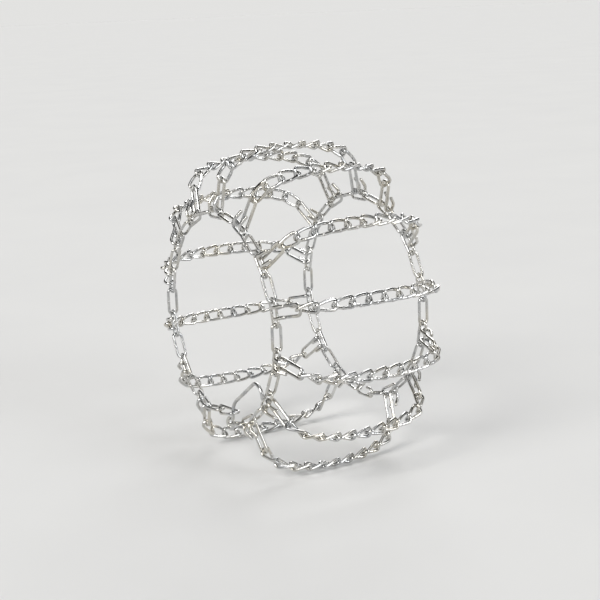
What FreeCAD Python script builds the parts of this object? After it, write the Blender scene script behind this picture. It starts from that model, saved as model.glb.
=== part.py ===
import FreeCAD, Part
import math
import os

Vector = FreeCAD.Vector
Rotation = FreeCAD.Rotation
Placement = FreeCAD.Placement

AXLE = Vector(0, 1, 0)
ORIGIN = Vector(0, 0, 0)

# Driving dimensions in millimetres and degrees, each with the words that explain it.
SIZES = [
    ("side_wire", 4.0, "wire diameter of the side chain links"),
    ("side_pitch", 34.0, "pitch of one side chain link"),
    ("side_width", 13.2, "side link width between wire centres"),
    ("side_lap", 2.3, "how far a side link's end wire passes its joint"),
    ("side_offset", 121.0, "axial distance from the wheel centre to a side chain"),
    ("chain_count", 13.0, "number of cross chains"),
    ("cross_wire", 4.5, "wire diameter of cross chain links and cross hooks"),
    ("cross_pitch", 24.4, "pitch of one twisted cross chain link"),
    ("cross_width", 15.8, "twisted link width between wire centres at its ends"),
    ("cross_waist", 14.6, "twisted link width between wire centres at its middle"),
    ("cross_lap", 2.65, "how far a cross link's end wire passes its joint"),
    ("cross_corner", 5.2, "corner radius of a twisted link"),
    ("cross_side", 30.0, "radius of the bulge in the sides of a twisted link"),
    ("cross_twist", 84.0, "twist from one end of a cross link to the other"),
    ("cross_roll", 48.0, "roll of the first and last cross link"),
    ("crown_radius", 234.0, "radius of the middle joint of a cross chain"),
    ("hook_spacing", 15.0, "distance between the two legs of a cross hook"),
    ("hook_bow", 6.0, "radius of a cross hook's bow under the side link's wire"),
    ("hook_return", 164.0, "radius at which the free ends of a cross hook lean back"),
    ("hook_lip", 14.0, "length of a cross hook's free end past that bend"),
    ("hook_lean", 35.0, "angle by which the free ends lean back to the tyre"),
    ("hook_knee", 6.0, "bend radius where the free ends lean back"),
    ("end_chamfer", 0.8, "chamfer on cut wire ends"),
    ("lever_wire", 5.0, "wire diameter of the tension lever"),
    ("lever_eye", 8.0, "radius of the lever's eye at the wire centre"),
    ("lever_sweep", 30.0, "radius of the lever arm's long bend"),
    ("lever_elbow_x", 24.5, "sideways place of the lever's elbow under the axle"),
    ("lever_elbow_drop", 120.0, "drop from the axle to the lever's elbow"),
    ("lever_nose", 16.0, "radius of the bend before the lever's tip"),
    ("lever_nose_radius", 130.0, "distance from the axle to the corner of that bend"),
    ("lever_nose_ahead", 11.6, "angle by which that corner lies past the lever's tip"),
    ("lever_tip_radius", 147.5, "distance from the axle to the lever's tip"),
    ("lever_lift", 5.3, "axial step from the lever's eye to its tip"),
    ("end_link_mouth", 17.0, "width of the end link where the lever passes"),
    ("end_hook_mouth", 11.0, "gap in the plain end hook between wire centres"),
    ("end_hook_flick", 6.0, "how far the end hook's longer end turns outwards"),
]

# Slope in degrees of each cross link between the crown and the cross hook.
CROWN_SLOPES = (2.0, 6.0, 12.0, 23.0, 55.0)

doc = FreeCAD.newDocument("TireSnowChains")
sheet = doc.addObject("Spreadsheet::Sheet", "Sizes")
for row, (alias, value, meaning) in enumerate(SIZES, start=1):
    sheet.set("A%d" % row, meaning)
    sheet.set("B%d" % row, str(value))
    sheet.setAlias("B%d" % row, alias)
doc.recompute()


def size(alias):
    """The value that the sheet holds under a name."""
    return float(sheet.get(alias))


SLOTS = 2 * (int(size("chain_count")) + 1)
SLOT_ANGLE = 360.0 / SLOTS
FASTENER_ANGLE = -90.0
JOINT_RADIUS = size("side_pitch") / (2.0 * math.sin(math.radians(SLOT_ANGLE / 2)))
LINK_RADIUS = JOINT_RADIUS * math.cos(math.radians(SLOT_ANGLE / 2))
OUTER_WIRE_RADIUS = LINK_RADIUS + size("side_width") / 2


def on_ring(angle, radius, axial=0.0):
    """A point at an angle round the wheel, measured from +X towards +Z."""
    turn = math.radians(angle)
    return Vector(radius * math.cos(turn), axial, radius * math.sin(turn))


def turned_to(angle):
    """The turn about the axle that brings a piece drawn at the top to an angle."""
    return Placement(ORIGIN, Rotation(AXLE, 90.0 - angle))


def facing(side):
    """Half a turn about the upright for the inner side, none for the outer."""
    return Placement(ORIGIN, Rotation(Vector(0, 0, 1), 0.0 if side < 0 else 180.0))


# ---------------------------------------------------------------- wire paths


def rounded_path(points, radii, closed=False):
    """Straight edges through the points, with an arc of each radius at its corner."""
    count = len(points)
    corners = range(count) if closed else range(1, count - 1)
    arcs = {}
    for i in corners:
        point = points[i]
        back = (points[i - 1] - point).normalize()
        ahead = (points[(i + 1) % count] - point).normalize()
        half = back.getAngle(ahead) / 2
        middle = (back + ahead).normalize()
        radius = radii[i]
        reach = radius / math.tan(half)
        nearest = point + middle * (radius / math.sin(half) - radius)
        arcs[i] = (point + back * reach, nearest, point + ahead * reach)
    edges = []
    for i in range(count if closed else count - 1):
        j = (i + 1) % count
        start = arcs[i][2] if i in arcs else points[i]
        end = arcs[j][0] if j in arcs else points[j]
        edges.append(Part.LineSegment(start, end).toShape())
        if j in arcs:
            edges.append(Part.Arc(*arcs[j]).toShape())
    return edges


def disc_at(edge, radius):
    """The round face that stands across the start of an edge."""
    start = edge.valueAt(edge.FirstParameter)
    along = edge.tangentAt(edge.FirstParameter)
    return Part.Face(Part.Wire([Part.makeCircle(radius, start, along)]))


def closed_wire_solid(edges, diameter):
    """A ring of round wire along closed edges, fused from one pipe for each edge."""
    pieces = [Part.Wire([e]).makePipe(disc_at(e, diameter / 2)) for e in edges]
    return pieces[0].multiFuse(pieces[1:]).Solids[0]


def open_wire_solid(edges, diameter):
    """A round wire along open edges, with both cut ends chamfered."""
    solid = Part.Wire(edges).makePipe(disc_at(edges[0], diameter / 2))
    tips = (edges[0].valueAt(edges[0].FirstParameter), edges[-1].valueAt(edges[-1].LastParameter))
    rims = []
    for face in solid.Faces:
        if any((face.CenterOfMass - tip).Length < diameter / 100 for tip in tips):
            rims.extend(face.Edges)
    return solid.makeChamfer(size("end_chamfer"), rims)


OUTER = -1
INNER = 1

hook_angles = [FASTENER_ANGLE + 2 * SLOT_ANGLE * k for k in range(1, SLOTS // 2)]
between_angles = [FASTENER_ANGLE + SLOT_ANGLE * (2 * k + 1) for k in range(SLOTS // 2)]

# ------------------------------------------------- lines of the outer fastener

PLAY = 0.45
between_wires = (size("side_wire") + size("lever_wire")) / 2 + PLAY
first_joint = on_ring(FASTENER_ANGLE + SLOT_ANGLE / 2, JOINT_RADIUS)
first_run = on_ring(FASTENER_ANGLE + SLOT_ANGLE + 90.0, 1.0)
held_wire = first_joint - first_run * size("side_lap")
eye_centre = held_wire + first_run * (between_wires - size("lever_eye"))

# The tip rests on the second hooked link, between the legs of its cross hook.
tip = on_ring(hook_angles[1], size("lever_tip_radius"))
elbow = Vector(size("lever_elbow_x"), 0, -size("lever_elbow_drop"))
reach = (tip - eye_centre).normalize()
nose = on_ring(hook_angles[1] + size("lever_nose_ahead"), size("lever_nose_radius"))
EYE_OPENING_ANGLE = 80.0


def lever_edges():
    """Edges of the lever in its own plane: eye, then arm, elbow, nose and tip."""
    radius = size("lever_eye")
    to_elbow = elbow - eye_centre
    leave = math.degrees(math.atan2(to_elbow.z, to_elbow.x) - math.acos(radius / to_elbow.Length))
    last = leave + 360.0
    eye_angles = (EYE_OPENING_ANGLE, (EYE_OPENING_ANGLE + last) / 2, last)
    start, half_way, end = (eye_centre + on_ring(angle, radius) for angle in eye_angles)
    arm = rounded_path([end, elbow, nose, tip], [0, size("lever_sweep"), size("lever_nose"), 0])
    return [Part.Arc(start, half_way, end).toShape()] + arm


# The outer chain's last two links leave the circle and run straight to the lever,
# which they meet where its elbow begins. They pull from the round end of the last flat link.
outer_plane = Vector(0, OUTER * size("side_offset"), 0)
elbow_bend = lever_edges()[2]
lever_crossing = elbow_bend.valueAt(elbow_bend.FirstParameter)
corner_joint = on_ring(FASTENER_ANGLE - 1.5 * SLOT_ANGLE, JOINT_RADIUS)
last_flat_run = on_ring(hook_angles[-1] + 90.0, 1.0)
round_end = corner_joint - last_flat_run * (size("side_width") / 2 - size("side_lap"))
run_in = (lever_crossing - round_end).normalize()
run_in_angle = math.degrees(math.atan2(run_in.z, run_in.x))
round_end_play = size("side_width") / 2 - size("side_wire") - PLAY
last_joint = round_end + run_in * (round_end_play + size("side_lap"))
end_joint = last_joint + run_in * size("side_pitch")

# --------------------------------------------------------------- side chains


def side_link(name):
    """One oval link in its own plane: two half rings and two straight sides."""
    straight = "(Sizes.side_pitch + 2 * Sizes.side_lap - Sizes.side_width)"
    pieces = []
    for end in (-1, 1):
        bend = doc.addObject("Part::Torus", name + ("_left_bend" if end < 0 else "_right_bend"))
        bend.setExpression("Radius1", "Sizes.side_width / 2")
        bend.setExpression("Radius2", "Sizes.side_wire / 2")
        bend.Angle3 = 180
        bend.Placement = Placement(ORIGIN, Rotation(Vector(0, 0, 1), -90.0 * end))
        bend.setExpression("Placement.Base.x", "%d * %s / 2" % (end, straight))
        pieces.append(bend)
        bar = doc.addObject("Part::Cylinder", name + ("_low_side" if end < 0 else "_high_side"))
        bar.setExpression("Radius", "Sizes.side_wire / 2")
        bar.setExpression("Height", straight)
        bar.Placement = Placement(ORIGIN, Rotation(AXLE, 90.0))
        bar.setExpression("Placement.Base.x", "-1 * %s / 2" % straight)
        bar.setExpression("Placement.Base.y", "%d * Sizes.side_width / 2" % end)
        pieces.append(bar)
    link = doc.addObject("Part::MultiFuse", name)
    link.Shapes = pieces
    return link


def ring_place(side, roll):
    """A side link's place at the top of its ring, rolled about its own length."""
    base = Vector(0, side * size("side_offset"), LINK_RADIUS)
    return Placement(base, Rotation(Vector(1, 0, 0), roll))


FLAT = 90.0
UPRIGHT = 0.0
sub_parts = []


def finish(thing, label):
    """Name an object as a sub-part of the assembly."""
    thing.Label = label
    sub_parts.append(thing)


for side, side_name in ((OUTER, "outer"), (INNER, "inner")):
    flat_links = []
    for k, angle in enumerate(hook_angles, start=1):
        link = side_link("%s_flat_%02d" % (side_name, k))
        link.Placement = turned_to(angle) * ring_place(side, FLAT)
        flat_links.append(link)
    group = doc.addObject("Part::Compound", side_name + "_hook_links")
    group.Links = flat_links
    finish(group, side_name + "_hook_links")
    for k, angle in enumerate(between_angles, start=1):
        link = side_link("%s_link_%02d" % (side_name, k))
        if side == OUTER and angle == between_angles[-1]:
            link_centre = (last_joint + end_joint) * 0.5 + outer_plane
            link.Placement = Placement(link_centre, Rotation(AXLE, -run_in_angle))
        else:
            link.Placement = turned_to(angle) * ring_place(side, UPRIGHT)
        finish(link, "%s_link_%02d" % (side_name, k))


# -------------------------------------------------------------- cross chains


def across_link(x, width, roll):
    """The two wire centres at a place along a link, for its width and roll there."""
    turn = math.radians(roll)
    half_width = Vector(0, math.sin(turn), math.cos(turn)) * (width / 2)
    return Vector(x, 0, 0) + half_width, Vector(x, 0, 0) - half_width


def skew_link_edges(half, widths, rolls, corner):
    """Edges of a twisted link along X with straight sides, with a width and roll for each end."""
    near_high, near_low = across_link(-half, widths[0], rolls[0])
    far_high, far_low = across_link(half, widths[1], rolls[1])
    points = [near_high, far_high, far_low, near_low]
    return rounded_path(points, [corner] * 4, closed=True)


def twisted_link_edges(roll):
    """Edges of a cross link along X, whose sides bulge because it was twisted when oval."""
    half = size("cross_pitch") / 2 + size("cross_lap")
    half_twist = size("cross_twist") / 2
    near_high, near_low = across_link(-half, size("cross_width"), roll - half_twist)
    waist_high, waist_low = across_link(0, size("cross_waist"), roll)
    far_high, far_low = across_link(half, size("cross_width"), roll + half_twist)
    points = [near_high, waist_high, far_high, far_low, waist_low, near_low]
    corner = size("cross_corner")
    side = size("cross_side")
    return rounded_path(points, [corner, side, corner, corner, side, corner], closed=True)


def chain_joints():
    """Joints of a cross chain drawn at the top, from the outer side to the inner."""
    half = [Vector(0, 0, size("crown_radius"))]
    for slope in CROWN_SLOPES:
        turn = math.radians(slope)
        step = Vector(0, math.cos(turn), -math.sin(turn)) * size("cross_pitch")
        half.append(half[-1] + step)
    mirrored = [Vector(0, -p.y, p.z) for p in half[:0:-1]]
    return mirrored + half


cross_joints = chain_joints()
link_total = len(cross_joints) - 1
cross_links = []
for k in range(link_total):
    start, end = cross_joints[k], cross_joints[k + 1]
    roll = size("cross_roll") * (2.0 * k / (link_total - 1) - 1.0)
    solid = closed_wire_solid(twisted_link_edges(90.0 + roll), size("cross_wire"))
    along = end - start
    slope = math.degrees(math.atan2(along.z, along.y))
    aim = Rotation(Vector(1, 0, 0), slope) * Rotation(Vector(0, 0, 1), 90.0)
    solid.Placement = Placement((start + end) * 0.5, aim)
    cross_links.append(solid)

for k, angle in enumerate(hook_angles, start=1):
    chain = doc.addObject("Part::Feature", "cross_chain_%02d" % k)
    chain.Shape = Part.makeCompound(cross_links)
    chain.Placement = turned_to(angle)
    finish(chain, "cross_chain_%02d" % k)


# --------------------------------------------------------------- cross hooks


def cross_hook_edges():
    """Edges of an outer cross hook drawn at the top: free end, bow, leg, hairpin and back."""
    bow = size("hook_bow")
    held = Vector(0, OUTER * size("side_offset"), OUTER_WIRE_RADIUS)
    pull = (cross_joints[0] - held).normalize()
    hold = (size("side_wire") + size("cross_wire")) / 2 + PLAY
    bow_centre = held + pull * (bow - hold)
    drop = cross_joints[0] - bow_centre
    lean = math.atan2(drop.y, drop.z) - math.asin(bow / drop.Length)
    leg = Vector(0, math.sin(lean), math.cos(lean))
    top = cross_joints[0] + leg * size("cross_lap")
    tyre_side = bow_centre + Vector(0, leg.z, -leg.y) * bow
    bottom = bow_centre - Vector(0, math.sin(lean / 2), math.cos(lean / 2)) * bow
    outer_side = bow_centre - Vector(0, bow, 0)
    knee = Vector(0, outer_side.y, size("hook_return"))
    lip_turn = math.radians(size("hook_lean"))
    tip = knee + Vector(0, math.sin(lip_turn), math.cos(lip_turn)) * size("hook_lip")
    spacing = size("hook_spacing") / 2
    shoulder = top - leg * spacing
    left = Vector(-spacing, 0, 0)
    right = Vector(spacing, 0, 0)
    knee_radii = [0, size("hook_knee"), 0]
    return [
        *rounded_path([tip + left, knee + left, outer_side + left], knee_radii),
        Part.Arc(outer_side + left, bottom + left, tyre_side + left).toShape(),
        Part.LineSegment(tyre_side + left, shoulder + left).toShape(),
        Part.Arc(shoulder + left, top, shoulder + right).toShape(),
        Part.LineSegment(shoulder + right, tyre_side + right).toShape(),
        Part.Arc(tyre_side + right, bottom + right, outer_side + right).toShape(),
        *rounded_path([outer_side + right, knee + right, tip + right], knee_radii),
    ]


hook_solid = open_wire_solid(cross_hook_edges(), size("cross_wire"))
for side, side_name in ((OUTER, "outer"), (INNER, "inner")):
    hooks = []
    for angle in hook_angles:
        hook = hook_solid.copy()
        hook.Placement = turned_to(angle) * facing(side)
        hooks.append(hook)
    group = doc.addObject("Part::Feature", side_name + "_cross_hooks")
    group.Shape = Part.makeCompound(hooks)
    group.Placement = Placement()
    finish(group, side_name + "_cross_hooks")


# ------------------------------------------------------------ tension lever

lever = doc.addObject("Part::Feature", "tension_lever")
lever.Shape = open_wire_solid(lever_edges(), size("lever_wire"))
lever_tilt = math.degrees(math.asin(size("lever_lift") / (tip - eye_centre).Length))
lever.Placement = Placement(outer_plane, Rotation(reach.cross(-AXLE), lever_tilt), eye_centre)
finish(lever, "tension_lever")

end_link_start = end_joint - run_in * size("side_lap")
crossing_angle = run_in.getAngle(elbow_bend.tangentAt(elbow_bend.FirstParameter))
end_link_stop = lever_crossing + run_in * (between_wires / math.sin(crossing_angle))
end_link_half = (end_link_stop - end_link_start).Length / 2
end_link_widths = (size("side_width"), size("end_link_mouth"))
END_LINK_CORNER = 5.0
end_link = doc.addObject("Part::Feature", "outer_end_link")
end_link_edges = skew_link_edges(end_link_half, end_link_widths, (0.0, 90.0), END_LINK_CORNER)
end_link.Shape = closed_wire_solid(end_link_edges, size("side_wire"))
end_link_centre = (end_link_start + end_link_stop) * 0.5 + outer_plane
end_link.Placement = Placement(end_link_centre, Rotation(AXLE, -run_in_angle))
finish(end_link, "outer_end_link")


# Each end of the plain hook is two quarter bends of nearly half its width.
ROUND_SHARE = 0.98


def end_hook_edges():
    """Edges of the plain hook that closes the inner side chain, open towards the axle."""
    half = size("side_pitch") / 2 + size("side_lap")
    rise = size("side_width") / 2
    mouth_edge = size("end_hook_mouth") / 2
    flick = size("end_hook_flick")
    points = [
        Vector(-mouth_edge, 0, -rise),
        Vector(-half, 0, -rise),
        Vector(-half, 0, rise),
        Vector(half, 0, rise),
        Vector(half, 0, -rise),
        Vector(mouth_edge, 0, -rise),
        Vector(mouth_edge - flick, 0, -rise - flick),
    ]
    end_bend = ROUND_SHARE * rise
    return rounded_path(points, [0] + [end_bend] * 4 + [size("side_wire"), 0])


end_hook = doc.addObject("Part::Feature", "inner_end_hook")
end_hook.Shape = open_wire_solid(end_hook_edges(), size("side_wire"))
end_hook.Placement = turned_to(FASTENER_ANGLE) * ring_place(INNER, 0.0)
finish(end_hook, "inner_end_hook")

# -------------------------------------------------------------------- output

doc.recompute()
for thing in doc.Objects:
    if "Invalid" in thing.State or "Error" in thing.State:
        raise RuntimeError("%s did not build: %s" % (thing.Label, thing.State))
for thing in sub_parts:
    if thing.Shape.isNull() or not thing.Shape.isValid():
        raise RuntimeError("%s has no valid shape" % thing.Label)

os.makedirs("parts", exist_ok=True)
for thing in sub_parts:
    thing.Shape.exportStep("parts/%s.step" % thing.Label)
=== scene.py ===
import math

import bpy
import numpy as np
from mathutils import Matrix, Vector


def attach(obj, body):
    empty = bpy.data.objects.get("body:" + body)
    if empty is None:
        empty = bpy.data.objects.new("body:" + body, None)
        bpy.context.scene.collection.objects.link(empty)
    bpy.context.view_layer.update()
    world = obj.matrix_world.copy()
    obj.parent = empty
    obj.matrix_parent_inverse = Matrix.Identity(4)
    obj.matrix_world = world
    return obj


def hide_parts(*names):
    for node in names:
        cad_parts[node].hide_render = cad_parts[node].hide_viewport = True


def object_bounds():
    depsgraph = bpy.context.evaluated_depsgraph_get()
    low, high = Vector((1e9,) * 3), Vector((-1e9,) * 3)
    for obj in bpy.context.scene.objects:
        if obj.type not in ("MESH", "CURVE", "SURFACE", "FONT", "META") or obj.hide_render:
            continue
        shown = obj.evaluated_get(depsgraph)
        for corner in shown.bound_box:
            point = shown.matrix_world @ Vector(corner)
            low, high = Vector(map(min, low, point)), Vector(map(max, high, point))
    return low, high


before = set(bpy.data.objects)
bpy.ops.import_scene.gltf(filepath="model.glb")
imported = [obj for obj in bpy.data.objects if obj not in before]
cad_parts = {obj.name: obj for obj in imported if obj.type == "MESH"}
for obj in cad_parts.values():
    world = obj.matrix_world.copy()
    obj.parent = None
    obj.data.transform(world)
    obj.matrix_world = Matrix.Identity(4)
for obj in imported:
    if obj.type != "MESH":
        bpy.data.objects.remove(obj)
cad_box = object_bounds()

MM = 0.001
X_AXIS = Vector((1.0, 0.0, 0.0))
Y_AXIS = Vector((0.0, 1.0, 0.0))
Z_AXIS = Vector((0.0, 0.0, 1.0))
OUTER = -1
INNER = 1

# The same driving dimensions as the CAD, in millimetres and degrees.
CHAIN_COUNT = 13
SLOTS = 2 * (CHAIN_COUNT + 1)
SLOT_ANGLE = 360.0 / SLOTS
FASTENER_ANGLE = -90.0
SIDE_WIRE = 4.0
SIDE_PITCH = 34.0
SIDE_WIDTH = 13.2
SIDE_LAP = 2.3
SIDE_OFFSET = 121.0
CROSS_WIRE = 4.5
CROSS_PITCH = 24.4
CROSS_WIDTH = 15.8
CROSS_WAIST = 14.6
CROSS_LAP = 2.65
CROSS_CORNER = 5.2
CROSS_SIDE = 30.0
CROSS_TWIST = 84.0
CROSS_ROLL = 48.0
CROWN_RADIUS = 234.0
CROWN_SLOPES = (2.0, 6.0, 12.0, 23.0, 55.0)
HOOK_SPACING = 15.0
HOOK_BOW = 6.0
HOOK_RETURN = 164.0
HOOK_LIP = 14.0
HOOK_LEAN = 35.0
HOOK_KNEE = 6.0
LEVER_WIRE = 5.0
LEVER_EYE = 8.0
LEVER_SWEEP = 30.0
LEVER_ELBOW_X = 24.5
LEVER_ELBOW_DROP = 120.0
LEVER_NOSE = 16.0
LEVER_NOSE_RADIUS = 130.0
LEVER_NOSE_AHEAD = 11.6
LEVER_TIP_RADIUS = 147.5
LEVER_LIFT = 5.3
EYE_OPENING_ANGLE = 80.0
END_LINK_MOUTH = 17.0
END_LINK_CORNER = 5.0
END_HOOK_MOUTH = 11.0
END_HOOK_FLICK = 6.0
ROUND_SHARE = 0.98
PLAY = 0.45

JOINT_RADIUS = SIDE_PITCH / (2.0 * math.sin(math.radians(SLOT_ANGLE / 2)))
LINK_RADIUS = JOINT_RADIUS * math.cos(math.radians(SLOT_ANGLE / 2))
OUTER_WIRE_RADIUS = LINK_RADIUS + SIDE_WIDTH / 2
HOOK_ANGLES = [FASTENER_ANGLE + 2 * SLOT_ANGLE * k for k in range(1, CHAIN_COUNT + 1)]
BETWEEN_ANGLES = [FASTENER_ANGLE + SLOT_ANGLE * (2 * k + 1) for k in range(CHAIN_COUNT + 1)]

# How finely the wire is drawn, and the marks of its making.
WIRE_SIDES = 20
ARC_STEP = math.radians(9.0)
LONGEST_STEP = 3.0
BEAD_HEIGHT = 0.24
BEAD_HALF_LENGTH = 1.7
BEAD_STEPS = 5
CUT_CHAMFER = 0.8
RUB_REACH = 4.0
SAME_PLACE = 0.05
TONE_SEED = 5

tones = np.random.default_rng(TONE_SEED)


# ------------------------------------------------------------------- camera

# The camera stands a little above the axle, to the right of the outer side,
# and leans slightly.
CAMERA_AZIMUTH = math.radians(58.25)
CAMERA_ELEVATION = math.radians(12.35)
CAMERA_ROLL = math.radians(-2.18)
CAMERA_DISTANCE = 1.993
CAMERA_LENS = 82.0
SENSOR_WIDTH = 36.0
FARTHEST_SEEN = 200.0
AIM = Vector((0.003, 0.009, 0.008))

back = Vector((
    math.sin(CAMERA_AZIMUTH) * math.cos(CAMERA_ELEVATION),
    -math.cos(CAMERA_AZIMUTH) * math.cos(CAMERA_ELEVATION),
    math.sin(CAMERA_ELEVATION),
))
level_right = Vector((math.cos(CAMERA_AZIMUTH), math.sin(CAMERA_AZIMUTH), 0.0))
level_up = back.cross(level_right)
camera_right = level_right * math.cos(CAMERA_ROLL) + level_up * math.sin(CAMERA_ROLL)
camera_up = level_up * math.cos(CAMERA_ROLL) - level_right * math.sin(CAMERA_ROLL)

camera_data = bpy.data.cameras.new("camera")
camera_data.sensor_width = SENSOR_WIDTH
camera_data.lens = CAMERA_LENS
camera_data.clip_end = FARTHEST_SEEN
camera = bpy.data.objects.new("camera", camera_data)
bpy.context.collection.objects.link(camera)
camera_turn = Matrix((camera_right, camera_up, back)).transposed().to_4x4()
camera.matrix_world = Matrix.Translation(AIM + back * CAMERA_DISTANCE) @ camera_turn
bpy.context.scene.camera = camera


# ---------------------------------------------------------------- wire lines


def on_ring(angle, radius, axial=0.0):
    """A point at an angle round the wheel, measured from +X towards +Z."""
    turn = math.radians(angle)
    return Vector((radius * math.cos(turn), axial, radius * math.sin(turn)))


def turned_to(angle):
    """The turn about the axle that brings a piece drawn at the top to an angle."""
    return Matrix.Rotation(math.radians(90.0 - angle), 4, "Y")


def facing(side):
    """Half a turn about the upright for the inner side, none for the outer."""
    return Matrix.Rotation(0.0 if side < 0 else math.pi, 4, "Z")


def arc_points(start, end, centre):
    """Points along a circular arc of under half a turn, both ends included."""
    first = (start - centre).normalized()
    last = (end - centre).normalized()
    radius = (start - centre).length
    sweep = first.angle(last)
    across = (last - first * first.dot(last)).normalized()
    steps = max(2, math.ceil(sweep / ARC_STEP))
    angles = [sweep * k / steps for k in range(steps + 1)]
    return [centre + (first * math.cos(a) + across * math.sin(a)) * radius for a in angles]


def turn_points(centre, first, across, radius, start, stop):
    """Points round a centre, from one angle to another in degrees."""
    sweep = math.radians(stop - start)
    steps = max(2, math.ceil(abs(sweep) / ARC_STEP))
    angles = [math.radians(start) + sweep * k / steps for k in range(steps + 1)]
    return [centre + (first * math.cos(a) + across * math.sin(a)) * radius for a in angles]


def corner_arc(before, point, after, radius):
    """Where an arc leaves and joins the lines at a corner, and the arc's centre."""
    behind = (before - point).normalized()
    ahead = (after - point).normalized()
    half = behind.angle(ahead) / 2
    reach = radius / math.tan(half)
    centre = point + (behind + ahead).normalized() * (radius / math.sin(half))
    return point + behind * reach, point + ahead * reach, centre


def rounded_line(points, radii, closed=False):
    """A polyline through the points, with a tangent arc at each corner."""
    count = len(points)
    line = []
    for i, point in enumerate(points):
        if not closed and i in (0, count - 1):
            line.append(point)
        else:
            arc = corner_arc(points[i - 1], point, points[(i + 1) % count], radii[i])
            line.extend(arc_points(*arc))
    return line


# ------------------------------------------------------------- wire surfaces


def segments(line, closed):
    """The straight pieces of a line as pairs of points."""
    following = line[1:] + (line[:1] if closed else [])
    return list(zip(line, following))


def place_on(line, spot):
    """How far along a closed line its nearest point to a spot is."""
    travelled = 0.0
    found = []
    for start, end in segments(line, True):
        gap = (end - start).length
        share = min(1.0, max(0.0, (spot - start).dot(end - start) / gap**2))
        found.append(((start.lerp(end, share) - spot).length, travelled + share * gap))
        travelled += gap
    return min(found)[1]


def stations(line, closed, weld):
    """How far along a line each ring of points stands."""
    marks = [0.0]
    for start, end in segments(line, closed):
        gap = (end - start).length
        steps = max(1, math.ceil(gap / LONGEST_STEP))
        marks.extend([marks[-1] + gap * k / steps for k in range(1, steps + 1)])
    total = marks[-1]
    if weld is not None:
        bead_steps = range(-BEAD_STEPS, BEAD_STEPS + 1)
        marks.extend([weld + BEAD_HALF_LENGTH * k / BEAD_STEPS for k in bead_steps])
    if not closed:
        marks.extend([CUT_CHAMFER, total - CUT_CHAMFER])
    kept = [0.0]
    for mark in sorted(marks):
        if mark - kept[-1] > SAME_PLACE:
            kept.append(mark)
    if closed and total - kept[-1] < SAME_PLACE:
        kept.pop()
    return kept, total


def point_at(line, closed, distance):
    """The point a distance along a line."""
    for start, end in segments(line, closed):
        gap = (end - start).length
        if distance <= gap:
            return start.lerp(end, distance / gap)
        distance -= gap
    return (line[0] if closed else line[-1]).copy()


def bead_at(mark, weld):
    """The height of the flash weld at a distance along the wire, from 0 to 1."""
    if weld is None or abs(mark - weld) > BEAD_HALF_LENGTH:
        return 0.0
    return 0.5 + 0.5 * math.cos(math.pi * (mark - weld) / BEAD_HALF_LENGTH)


def carried_frames(centres, closed):
    """The wire's direction at each ring, and a direction across it that turns as little as it can."""
    count = len(centres)
    along = []
    for i in range(count):
        before = centres[i - 1] if closed or i > 0 else centres[i]
        after = centres[(i + 1) % count] if closed or i < count - 1 else centres[i]
        along.append((after - before).normalized())
    across = [along[0].orthogonal().normalized()]
    for ahead in along[1:]:
        across.append((across[-1] - ahead * across[-1].dot(ahead)).normalized())
    if closed:
        carried = (across[-1] - along[0] * across[-1].dot(along[0])).normalized()
        other = along[0].cross(across[0])
        gap = math.atan2(carried.dot(other), carried.dot(across[0]))
        for i in range(count):
            across[i] = Matrix.Rotation(-gap * i / count, 3, along[i]) @ across[i]
    return along, across


class Wire:
    """The surface of one round wire in its own frame, in millimetres.

    A wire with a weld is a closed ring, and one without a weld has two cut ends. Each point
    also knows its place along and round the wire, the height of the weld there, how much it
    rubs on its neighbours and how near it is to a cut end.
    """

    def __init__(self, line, diameter, rubs=(), weld_spot=None):
        closed = weld_spot is not None
        weld = place_on(line, weld_spot) if closed else None
        marks, total = stations(line, closed, weld)
        centres = [point_at(line, closed, mark) for mark in marks]
        along, across = carried_frames(centres, closed)
        self.points = []
        self.place = []
        self.marks = []
        for mark, centre, ahead, side in zip(marks, centres, along, across):
            bead = bead_at(mark, weld)
            end_gap = total if closed else min(mark, total - mark)
            cut = max(0.0, 1.0 - end_gap / CUT_CHAMFER)
            width = diameter / 2 + BEAD_HEIGHT * bead - CUT_CHAMFER * cut
            other = ahead.cross(side)
            for k in range(WIRE_SIDES):
                angle = 2.0 * math.pi * k / WIRE_SIDES
                outwards = side * math.cos(angle) + other * math.sin(angle)
                point = centre + outwards * width
                nearest = min([(point - spot).length for spot in rubs], default=RUB_REACH)
                self.points.append(point)
                self.place.append((mark, math.cos(angle), math.sin(angle)))
                self.marks.append((bead, max(0.0, 1.0 - nearest / RUB_REACH), cut))
        self.faces = self.ring_faces(len(marks), closed)

    @staticmethod
    def ring_faces(count, closed):
        """Four-sided faces between the rings, and a flat face on each cut end."""
        faces = []
        for i in range(count if closed else count - 1):
            here = i * WIRE_SIDES
            there = (i + 1) % count * WIRE_SIDES
            for k in range(WIRE_SIDES):
                j = (k + 1) % WIRE_SIDES
                faces.append((here + k, here + j, there + j, there + k))
        if not closed:
            last = (count - 1) * WIRE_SIDES
            faces.append(tuple(reversed(range(WIRE_SIDES))))
            faces.append(tuple(range(last, last + WIRE_SIDES)))
        return faces


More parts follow.
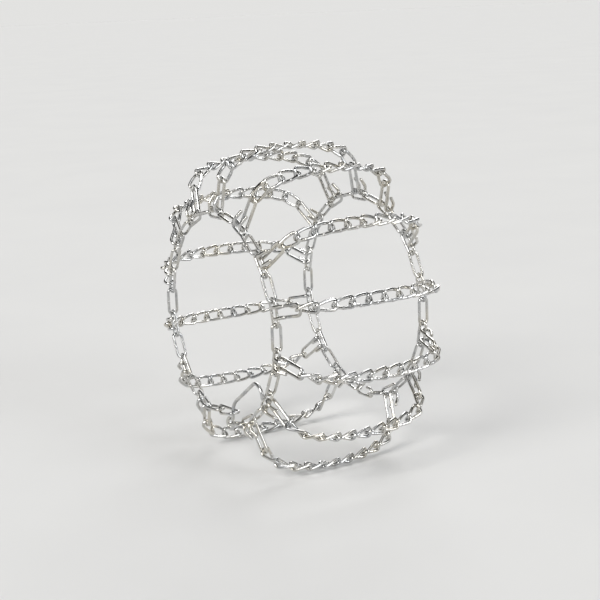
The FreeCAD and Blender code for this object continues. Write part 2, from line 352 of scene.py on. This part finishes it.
def wire_piece(name, node, body, material, wires):
    """One piece made of wires, each with its place, that stands for a CAD node."""
    points = []
    faces = []
    places = []
    marks = []
    tone = []
    for wire, place in wires:
        first = len(points)
        points.extend([place @ point * MM for point in wire.points])
        faces.extend([tuple(first + i for i in face) for face in wire.faces])
        places.extend(wire.place)
        marks.extend(wire.marks)
        tone.extend([tones.random()] * len(wire.points))
    mesh = bpy.data.meshes.new(name)
    mesh.from_pydata(points, [], faces)
    mesh.polygons.foreach_set("use_smooth", [len(face) == 4 for face in faces])
    mesh.attributes.new("wire_place", "FLOAT_VECTOR", "POINT").data.foreach_set("vector", np.ravel(places))
    for label, values in zip(("weld", "rub", "cut"), np.array(marks).T):
        mesh.attributes.new(label, "FLOAT", "POINT").data.foreach_set("value", values)
    mesh.attributes.new("tone", "FLOAT", "POINT").data.foreach_set("value", tone)
    mesh.materials.append(material)
    mesh.update()
    piece = bpy.data.objects.new(name, mesh)
    bpy.context.collection.objects.link(piece)
    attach(piece, body)
    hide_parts(node)
    return piece


# ----------------------------------------------------------------- materials


# Where a mix node keeps its factor, its two values and its output, for each kind of value.
MIX_SOCKETS = {"RGBA": (0, 6, 7, 2), "FLOAT": (0, 2, 3, 0)}

# The plating's textures: how fine each one is, and the part of its values that it fades over.
CLOUD_SCALE = 70.0
CLOUD_RANGE = (0.35, 0.65)
WARMTH_SCALE = 24.0
WARMTH_RANGE = (0.42, 0.66)
PIT_SCALE = 420.0
PIT_RANGE = (0.25, 0.42)
GRAIN_SCALE = 2600.0

# The drawing lines are stretched along the wire, and their colour and roughness fade apart.
DRAWING_SCALE = 2.2
DRAWING_STRETCH = (0.02, 5.0, 5.0)
DRAWING_COLOUR_RANGE = (0.35, 0.55)
DRAWING_GLOSS_RANGE = (0.35, 0.6)

COAT_WEIGHT = 0.15
COAT_ROUGHNESS = 0.12

# The colour of each mark on the plating, and how much of the plating's colour it takes over.
TINT_SHARE = 0.5
DRAWING_COLOUR = (0.42, 0.42, 0.42, 1.0)
DRAWING_SHARE = 0.22
PIT_COLOUR = (0.33, 0.32, 0.30, 1.0)
PIT_SHARE = 0.35
WELD_COLOUR = (0.46, 0.45, 0.45, 1.0)
WELD_SHARE = 0.65
CUT_COLOUR = (0.40, 0.39, 0.37, 1.0)
CUT_SHARE = 0.6
RUBBED_COLOUR = (0.84, 0.84, 0.83, 1.0)
RUBBED_SHARE = 0.8
DARKEST_LINK = 0.86
BRIGHTEST_LINK = 1.05

# The roughness of each mark. A weld or a cut has all of its own from this strength on.
FULLY_ROUGH_AT = 0.6
DRAWING_ROUGHER_BY = 0.08
DRAWING_GLOSS_SHARE = 0.5
WELD_ROUGHNESS = 0.42
CUT_ROUGHNESS = 0.48
RUBBED_ROUGHNESS = 0.10
RUBBED_GLOSS_SHARE = 0.9

# The bumps' strengths, and their heights in metres.
DRAWING_BUMP = (0.16, 0.00012)
PIT_BUMP = (0.20, 0.00010)
GRAIN_BUMP = (0.10, 0.00004)


def add_node(tree, kind, inputs=None, **settings):
    """A shader node with its settings and the values of its unlinked inputs."""
    made = tree.nodes.new(kind)
    for key, value in settings.items():
        setattr(made, key, value)
    for socket, value in (inputs or {}).items():
        made.inputs[socket].default_value = value
    return made


def blended(tree, factor, low, high, kind="RGBA"):
    """A mix node's output between two values or sockets, by a factor socket."""
    mix = tree.nodes.new("ShaderNodeMix")
    mix.data_type = kind
    factor_at, low_at, high_at, out_at = MIX_SOCKETS[kind]
    tree.links.new(factor, mix.inputs[factor_at])
    for value, at in ((low, low_at), (high, high_at)):
        if isinstance(value, bpy.types.NodeSocket):
            tree.links.new(value, mix.inputs[at])
        else:
            mix.inputs[at].default_value = value
    return mix.outputs[out_at]


def ranged(tree, source, from_low, from_high, to_low, to_high):
    """A socket's value carried from one range to another."""
    values = dict(enumerate((from_low, from_high, to_low, to_high), start=1))
    made = add_node(tree, "ShaderNodeMapRange", values)
    tree.links.new(source, made.inputs[0])
    return made.outputs[0]


def share_of(tree, mark, share, full_at=1.0):
    """A mark's share, growing from nothing to its whole at a value of the mark."""
    return ranged(tree, mark, 0.0, full_at, 0.0, share)


def noise(tree, vector, scale, detail=3.0, roughness=0.55):
    """A noise texture's value on a vector socket."""
    values = {"Scale": scale, "Detail": detail, "Roughness": roughness}
    made = add_node(tree, "ShaderNodeTexNoise", values)
    tree.links.new(vector, made.inputs["Vector"])
    return made.outputs["Fac"]


def attribute(tree, name, output="Fac"):
    """A mesh attribute's value."""
    return add_node(tree, "ShaderNodeAttribute", attribute_name=name).outputs[output]


def bumped(tree, height, strength, distance, below=None):
    """A bump on top of another normal."""
    made = add_node(tree, "ShaderNodeBump", {"Strength": strength, "Distance": distance})
    tree.links.new(height, made.inputs["Height"])
    if below is not None:
        tree.links.new(below, made.inputs["Normal"])
    return made.outputs["Normal"]


def plated_steel(name, light, dark, tint, smooth, rough):
    """Zinc-plated steel wire: cloudy plating, drawing lines, welds, rubbed joints and cut ends."""
    material = bpy.data.materials.new(name)
    material.use_nodes = True
    tree = material.node_tree
    shader = tree.nodes["Principled BSDF"]
    shader.inputs["Metallic"].default_value = 1.0
    shader.inputs["Coat Weight"].default_value = COAT_WEIGHT
    shader.inputs["Coat Roughness"].default_value = COAT_ROUGHNESS
    place = tree.nodes.new("ShaderNodeTexCoord").outputs["Object"]
    lines = add_node(tree, "ShaderNodeVectorMath", {1: DRAWING_STRETCH}, operation="MULTIPLY")
    tree.links.new(attribute(tree, "wire_place", "Vector"), lines.inputs[0])
    weld = attribute(tree, "weld")
    rub = attribute(tree, "rub")
    cut = attribute(tree, "cut")
    tone = attribute(tree, "tone")
    clouds = ranged(tree, noise(tree, place, CLOUD_SCALE), *CLOUD_RANGE, 0.0, 1.0)
    warmth = ranged(tree, noise(tree, place, WARMTH_SCALE, 2.0), *WARMTH_RANGE, 0.0, 1.0)
    drawn = noise(tree, lines.outputs[0], DRAWING_SCALE, 4.0, 0.7)
    grain = noise(tree, place, GRAIN_SCALE, 2.0)
    pits = ranged(tree, noise(tree, place, PIT_SCALE, 4.0), *PIT_RANGE, 0.0, 1.0)

    # Lines and pits are the low places of their textures, so their shares fall as the value rises.
    drawn_share = ranged(tree, drawn, *DRAWING_COLOUR_RANGE, DRAWING_SHARE, 0.0)
    pit_share = ranged(tree, pits, 0.0, 1.0, PIT_SHARE, 0.0)
    colour = blended(tree, clouds, dark, light)
    colour = blended(tree, share_of(tree, warmth, TINT_SHARE), colour, tint)
    colour = blended(tree, drawn_share, colour, DRAWING_COLOUR)
    colour = blended(tree, pit_share, colour, PIT_COLOUR)
    colour = blended(tree, share_of(tree, weld, WELD_SHARE), colour, WELD_COLOUR)
    colour = blended(tree, share_of(tree, cut, CUT_SHARE), colour, CUT_COLOUR)
    colour = blended(tree, share_of(tree, rub, RUBBED_SHARE), colour, RUBBED_COLOUR)
    shade = add_node(tree, "ShaderNodeHueSaturation")
    link_shade = ranged(tree, tone, 0.0, 1.0, DARKEST_LINK, BRIGHTEST_LINK)
    tree.links.new(link_shade, shade.inputs["Value"])
    tree.links.new(colour, shade.inputs["Color"])
    tree.links.new(shade.outputs[0], shader.inputs["Base Color"])

    gloss = ranged(tree, clouds, 0.0, 1.0, rough, smooth)
    drawn_gloss = ranged(tree, drawn, *DRAWING_GLOSS_RANGE, DRAWING_GLOSS_SHARE, 0.0)
    gloss = blended(tree, drawn_gloss, gloss, rough + DRAWING_ROUGHER_BY, "FLOAT")
    gloss = blended(tree, share_of(tree, weld, 1.0, FULLY_ROUGH_AT), gloss, WELD_ROUGHNESS, "FLOAT")
    gloss = blended(tree, share_of(tree, cut, 1.0, FULLY_ROUGH_AT), gloss, CUT_ROUGHNESS, "FLOAT")
    gloss = blended(tree, share_of(tree, rub, RUBBED_GLOSS_SHARE), gloss, RUBBED_ROUGHNESS, "FLOAT")
    tree.links.new(gloss, shader.inputs["Roughness"])

    normal = bumped(tree, drawn, *DRAWING_BUMP)
    normal = bumped(tree, pits, *PIT_BUMP, below=normal)
    normal = bumped(tree, grain, *GRAIN_BUMP, below=normal)
    tree.links.new(normal, shader.inputs["Normal"])
    return material


side_steel = plated_steel(
    "side_steel",
    light=(0.70, 0.70, 0.69, 1.0),
    dark=(0.46, 0.47, 0.48, 1.0),
    tint=(0.70, 0.65, 0.54, 1.0),
    smooth=0.12,
    rough=0.24,
)
cross_steel = plated_steel(
    "cross_steel",
    light=(0.72, 0.72, 0.71, 1.0),
    dark=(0.48, 0.49, 0.50, 1.0),
    tint=(0.72, 0.66, 0.53, 1.0),
    smooth=0.10,
    rough=0.21,
)
lever_steel = plated_steel(
    "lever_steel",
    light=(0.64, 0.64, 0.63, 1.0),
    dark=(0.43, 0.44, 0.46, 1.0),
    tint=(0.64, 0.61, 0.54, 1.0),
    smooth=0.16,
    rough=0.28,
)


# --------------------------------------------------------------- side chains

ROOT = "worn_chain"
FLAT = math.radians(90.0)
UPRIGHT = 0.0
TOP_OF_RING = {
    OUTER: Vector((0.0, OUTER * SIDE_OFFSET, LINK_RADIUS)),
    INNER: Vector((0.0, INNER * SIDE_OFFSET, LINK_RADIUS)),
}


def ring_place(side, roll):
    """A side link's place at the top of its ring, rolled about its own length."""
    return Matrix.Translation(TOP_OF_RING[side]) @ Matrix.Rotation(roll, 4, "X")


def oval_line():
    """A side link's centre line in its own plane, long along X."""
    radius = SIDE_WIDTH / 2
    end = X_AXIS * (SIDE_PITCH / 2 + SIDE_LAP - radius)
    right_bend = turn_points(end, X_AXIS, Y_AXIS, radius, -90.0, 90.0)
    left_bend = turn_points(-end, X_AXIS, Y_AXIS, radius, 90.0, 270.0)
    return right_bend + left_bend


def inner_ends(half, wire):
    """The two places inside a link's ends where its neighbours pull on it."""
    return [X_AXIS * (half - wire / 2), X_AXIS * (wire / 2 - half)]


side_ends = inner_ends(SIDE_PITCH / 2 + SIDE_LAP, SIDE_WIRE)
side_link = Wire(oval_line(), SIDE_WIRE, side_ends, weld_spot=Y_AXIS * (-SIDE_WIDTH / 2))

# The outer fastener: the lever's eye on the first link, its tip on the second flat link.
BETWEEN_WIRES = (SIDE_WIRE + LEVER_WIRE) / 2 + PLAY
outer_plane = Y_AXIS * (OUTER * SIDE_OFFSET)
first_joint = on_ring(FASTENER_ANGLE + SLOT_ANGLE / 2, JOINT_RADIUS)
first_run = on_ring(FASTENER_ANGLE + SLOT_ANGLE + 90.0, 1.0)
eye_centre = first_joint + first_run * (BETWEEN_WIRES - SIDE_LAP - LEVER_EYE)
tip = on_ring(HOOK_ANGLES[1], LEVER_TIP_RADIUS)
elbow = Vector((LEVER_ELBOW_X, 0.0, -LEVER_ELBOW_DROP))
reach = (tip - eye_centre).normalized()
nose = on_ring(HOOK_ANGLES[1] + LEVER_NOSE_AHEAD, LEVER_NOSE_RADIUS)

to_elbow = elbow - eye_centre
leaving_angle = math.degrees(math.atan2(to_elbow.z, to_elbow.x) - math.acos(LEVER_EYE / to_elbow.length))
eye = turn_points(eye_centre, X_AXIS, Z_AXIS, LEVER_EYE, EYE_OPENING_ANGLE, leaving_angle + 360.0)
lever_arm = rounded_line([eye[-1], elbow, nose, tip], [0.0, LEVER_SWEEP, LEVER_NOSE, 0.0])

# The outer chain's last two links run straight from the last flat link to where the lever's
# elbow begins.
lever_crossing = corner_arc(eye[-1], elbow, nose, LEVER_SWEEP)[0]
corner_joint = on_ring(FASTENER_ANGLE - 1.5 * SLOT_ANGLE, JOINT_RADIUS)
last_flat_run = on_ring(HOOK_ANGLES[-1] + 90.0, 1.0)
round_end = corner_joint - last_flat_run * (SIDE_WIDTH / 2 - SIDE_LAP)
run_in = (lever_crossing - round_end).normalized()
run_in_turn = Matrix.Rotation(-math.atan2(run_in.z, run_in.x), 4, "Y")
last_joint = round_end + run_in * (SIDE_WIDTH / 2 - SIDE_WIRE - PLAY + SIDE_LAP)
end_joint = last_joint + run_in * SIDE_PITCH

for side, side_name in ((OUTER, "outer"), (INNER, "inner")):
    flat_links = [(side_link, turned_to(angle) @ ring_place(side, FLAT)) for angle in HOOK_ANGLES]
    node = side_name + "_hook_links"
    wire_piece(node + "_steel", node, ROOT, side_steel, flat_links)
    for k, angle in enumerate(BETWEEN_ANGLES, start=1):
        place = turned_to(angle) @ ring_place(side, UPRIGHT)
        if side == OUTER and k == len(BETWEEN_ANGLES):
            place = Matrix.Translation((last_joint + end_joint) / 2 + outer_plane) @ run_in_turn
        node = "%s_link_%02d" % (side_name, k)
        wire_piece(node + "_steel", node, node, side_steel, [(side_link, place)])


# -------------------------------------------------------------- cross chains


def across_link(x, width, roll):
    """The two wire centres at a place along a link, for its width and roll there."""
    turn = math.radians(roll)
    half_width = Vector((0.0, math.sin(turn), math.cos(turn))) * (width / 2)
    return X_AXIS * x + half_width, X_AXIS * x - half_width


def skew_line(half, widths, rolls, corner):
    """A link's centre line along X, straight-sided, with a width and a roll for each end."""
    near_high, near_low = across_link(-half, widths[0], rolls[0])
    far_high, far_low = across_link(half, widths[1], rolls[1])
    return rounded_line([near_high, far_high, far_low, near_low], [corner] * 4, closed=True)


def twisted_line(roll):
    """A cross link's centre line along X, whose sides bulge from being twisted when oval."""
    near_high, near_low = across_link(-cross_half, CROSS_WIDTH, roll - CROSS_TWIST / 2)
    waist_high, waist_low = across_link(0.0, CROSS_WAIST, roll)
    far_high, far_low = across_link(cross_half, CROSS_WIDTH, roll + CROSS_TWIST / 2)
    points = [near_high, waist_high, far_high, far_low, waist_low, near_low]
    radii = [CROSS_CORNER, CROSS_SIDE, CROSS_CORNER] * 2
    return rounded_line(points, radii, closed=True)


def chain_joints():
    """Joints of a cross chain drawn at the top, from the outer side to the inner."""
    half = [Z_AXIS * CROWN_RADIUS]
    for slope in CROWN_SLOPES:
        turn = math.radians(slope)
        half.append(half[-1] + Vector((0.0, math.cos(turn), -math.sin(turn))) * CROSS_PITCH)
    mirrored = [Vector((0.0, -point.y, point.z)) for point in half[:0:-1]]
    return mirrored + half


cross_joints = chain_joints()
link_total = len(cross_joints) - 1
cross_half = CROSS_PITCH / 2 + CROSS_LAP
cross_links = []
for k in range(link_total):
    start, end = cross_joints[k], cross_joints[k + 1]
    roll = 90.0 + CROSS_ROLL * (2.0 * k / (link_total - 1) - 1.0)
    weld_side = across_link(0.0, CROSS_WAIST, roll)[1]
    wire = Wire(twisted_line(roll), CROSS_WIRE, inner_ends(cross_half, CROSS_WIRE), weld_side)
    slope = math.atan2((end - start).z, (end - start).y)
    aim = Matrix.Rotation(slope, 4, "X") @ Matrix.Rotation(math.radians(90.0), 4, "Z")
    cross_links.append((wire, Matrix.Translation((start + end) / 2) @ aim))

for k, angle in enumerate(HOOK_ANGLES, start=1):
    node = "cross_chain_%02d" % k
    placed = [(wire, turned_to(angle) @ place) for wire, place in cross_links]
    wire_piece(node + "_steel", node, node, cross_steel, placed)


# --------------------------------------------------------------- cross hooks


def cross_hook_line():
    """An outer cross hook's centre line, drawn at the top: free end, bow, leg, hairpin and back."""
    held = Vector((0.0, OUTER * SIDE_OFFSET, OUTER_WIRE_RADIUS))
    pull = (cross_joints[0] - held).normalized()
    hold = (SIDE_WIRE + CROSS_WIRE) / 2 + PLAY
    bow_centre = held + pull * (HOOK_BOW - hold)
    drop = cross_joints[0] - bow_centre
    lean = math.atan2(drop.y, drop.z) - math.asin(HOOK_BOW / drop.length)
    leg = Vector((0.0, math.sin(lean), math.cos(lean)))
    bow = turn_points(bow_centre, -Y_AXIS, -Z_AXIS, HOOK_BOW, 0.0, 180.0 - math.degrees(lean))
    knee = Vector((0.0, bow[0].y, HOOK_RETURN))
    lip_turn = math.radians(HOOK_LEAN)
    free_end = knee + Vector((0.0, math.sin(lip_turn), math.cos(lip_turn))) * HOOK_LIP
    side = rounded_line([free_end, knee, bow[0]], [0.0, HOOK_KNEE, 0.0]) + bow[1:]
    spacing = HOOK_SPACING / 2
    shoulder = cross_joints[0] + leg * (CROSS_LAP - spacing)
    left = [point - X_AXIS * spacing for point in side]
    right = [point + X_AXIS * spacing for point in reversed(side)]
    return left + turn_points(shoulder, -X_AXIS, leg, spacing, 0.0, 180.0) + right


hook_wire = Wire(cross_hook_line(), CROSS_WIRE)
for side, side_name in ((OUTER, "outer"), (INNER, "inner")):
    hooks = [(hook_wire, turned_to(angle) @ facing(side)) for angle in HOOK_ANGLES]
    node = side_name + "_cross_hooks"
    wire_piece(node + "_steel", node, ROOT, cross_steel, hooks)


# ----------------------------------------------------------------- fasteners

lever_wire = Wire(eye + lever_arm[1:], LEVER_WIRE)
lever_lean = math.asin(LEVER_LIFT / (tip - eye_centre).length)
lever_place = (
    Matrix.Translation(outer_plane + eye_centre)
    @ Matrix.Rotation(lever_lean, 4, reach.cross(-Y_AXIS))
    @ Matrix.Translation(-eye_centre)
)
wire_piece(
    "tension_lever_steel", "tension_lever", "tension_lever", lever_steel,
    [(lever_wire, lever_place)],
)

end_link_start = end_joint - run_in * SIDE_LAP
crossing_lean = run_in.angle(elbow - eye[-1])
end_link_stop = lever_crossing + run_in * (BETWEEN_WIRES / math.sin(crossing_lean))
end_link_half = (end_link_stop - end_link_start).length / 2
end_link_widths = (SIDE_WIDTH, END_LINK_MOUTH)
end_link_line = skew_line(end_link_half, end_link_widths, (0.0, 90.0), END_LINK_CORNER)
end_link_place = Matrix.Translation((end_link_start + end_link_stop) / 2 + outer_plane) @ run_in_turn
end_link_ends = inner_ends(end_link_half, SIDE_WIRE)
end_link = Wire(end_link_line, SIDE_WIRE, end_link_ends, weld_spot=Z_AXIS * (-SIDE_WIDTH / 2))
wire_piece(
    "outer_end_link_steel", "outer_end_link", ROOT, side_steel,
    [(end_link, end_link_place)],
)


def end_hook_line():
    """Centre line of the plain hook that closes the inner side chain, open towards the axle."""
    half = SIDE_PITCH / 2 + SIDE_LAP
    rise = SIDE_WIDTH / 2
    mouth_edge = END_HOOK_MOUTH / 2
    points = [
        Vector((-mouth_edge, 0.0, -rise)),
        Vector((-half, 0.0, -rise)),
        Vector((-half, 0.0, rise)),
        Vector((half, 0.0, rise)),
        Vector((half, 0.0, -rise)),
        Vector((mouth_edge, 0.0, -rise)),
        Vector((mouth_edge - END_HOOK_FLICK, 0.0, -rise - END_HOOK_FLICK)),
    ]
    return rounded_line(points, [0.0] + [ROUND_SHARE * rise] * 4 + [SIDE_WIRE, 0.0])


end_hook = Wire(end_hook_line(), SIDE_WIRE)
end_hook_place = turned_to(FASTENER_ANGLE) @ ring_place(INNER, UPRIGHT)
wire_piece(
    "inner_end_hook_steel", "inner_end_hook", "inner_end_hook", side_steel,
    [(end_hook, end_hook_place)],
)


# ---------------------------------------------------------- floor and lights

FLOOR_GAP = 0.0003
FLOOR_HALF = 60.0
FLOOR_LEVEL = cad_box[0].z - FLOOR_GAP
FLOOR_ROUGHNESS = 0.9
PAPER_SCALE = 3.0
PAPER_DARK = (0.71, 0.71, 0.71, 1.0)
PAPER_PALE = (0.75, 0.75, 0.745, 1.0)


def floor_material():
    """A pale matt paper with a very faint unevenness."""
    material = bpy.data.materials.new("pale_floor")
    material.use_nodes = True
    tree = material.node_tree
    shader = tree.nodes["Principled BSDF"]
    shader.inputs["Roughness"].default_value = FLOOR_ROUGHNESS
    shader.inputs["Specular IOR Level"].default_value = 0.0
    place = tree.nodes.new("ShaderNodeTexCoord").outputs["Object"]
    colour = blended(tree, noise(tree, place, PAPER_SCALE), PAPER_DARK, PAPER_PALE)
    tree.links.new(colour, shader.inputs["Base Color"])
    return material


floor_mesh = bpy.data.meshes.new("floor")
corner_signs = ((-1, -1), (1, -1), (1, 1), (-1, 1))
floor_corners = [(x * FLOOR_HALF, y * FLOOR_HALF, FLOOR_LEVEL) for x, y in corner_signs]
floor_mesh.from_pydata(floor_corners, [], [(0, 1, 2, 3)])
floor_mesh.materials.append(floor_material())
floor = bpy.data.objects.new("floor", floor_mesh)
bpy.context.collection.objects.link(floor)


def sun(name, azimuth, elevation, strength, spread, colour=(1.0, 1.0, 1.0)):
    """An even soft light from a direction, in degrees from the camera's azimuth and above the floor.

    The spread is how wide the light looks from the object, in degrees.
    """
    turn = CAMERA_AZIMUTH + math.radians(azimuth)
    rise = math.radians(elevation)
    flat = math.cos(rise)
    towards = Vector((math.sin(turn) * flat, -math.cos(turn) * flat, math.sin(rise)))
    data = bpy.data.lights.new(name, "SUN")
    data.energy = strength
    data.angle = math.radians(spread)
    data.color = colour
    lamp = bpy.data.objects.new(name, data)
    lamp.rotation_euler = towards.to_track_quat("Z", "Y").to_euler()
    bpy.context.collection.objects.link(lamp)


sun("key", -40.0, 36.0, strength=2.2, spread=28.0, colour=(1.0, 0.985, 0.95))
sun("fill", 50.0, 22.0, strength=1.5, spread=28.0, colour=(0.96, 0.98, 1.0))
sun("rim", 170.0, 30.0, strength=1.1, spread=26.0)
sun("overhead", 100.0, 76.0, strength=0.7, spread=50.0)


# The horizon has the floor's own shade, so that no line shows between them.
HORIZON_TINT = (1.003, 1.0, 0.984)

# The brightness of the room from the horizon (0) to straight overhead (1).
ROOM_BANDS = ((0.0, 0.763), (0.17, 0.763), (0.24, 0.10), (0.50, 0.03), (1.0, 0.04))


def studio_world():
    """A pale band at the horizon under a dark room, so that steel has contrast."""
    world = bpy.data.worlds.new("studio")
    world.use_nodes = True
    tree = world.node_tree
    background = tree.nodes["Background"]
    split = tree.nodes.new("ShaderNodeSeparateXYZ")
    tree.links.new(tree.nodes.new("ShaderNodeTexCoord").outputs["Generated"], split.inputs[0])
    ramp = tree.nodes.new("ShaderNodeValToRGB")
    # New stops start in the middle, and the loop below moves them to their heights.
    while len(ramp.color_ramp.elements) < len(ROOM_BANDS):
        ramp.color_ramp.elements.new(0.5)
    for element, (height, value) in zip(ramp.color_ramp.elements, ROOM_BANDS):
        element.position = height
        element.color = (*(value * share for share in HORIZON_TINT), 1.0)
    tree.links.new(split.outputs["Z"], ramp.inputs[0])
    tree.links.new(ramp.outputs[0], background.inputs["Color"])
    return world


bpy.context.scene.world = studio_world()
bpy.context.scene.view_settings.view_transform = "Standard"
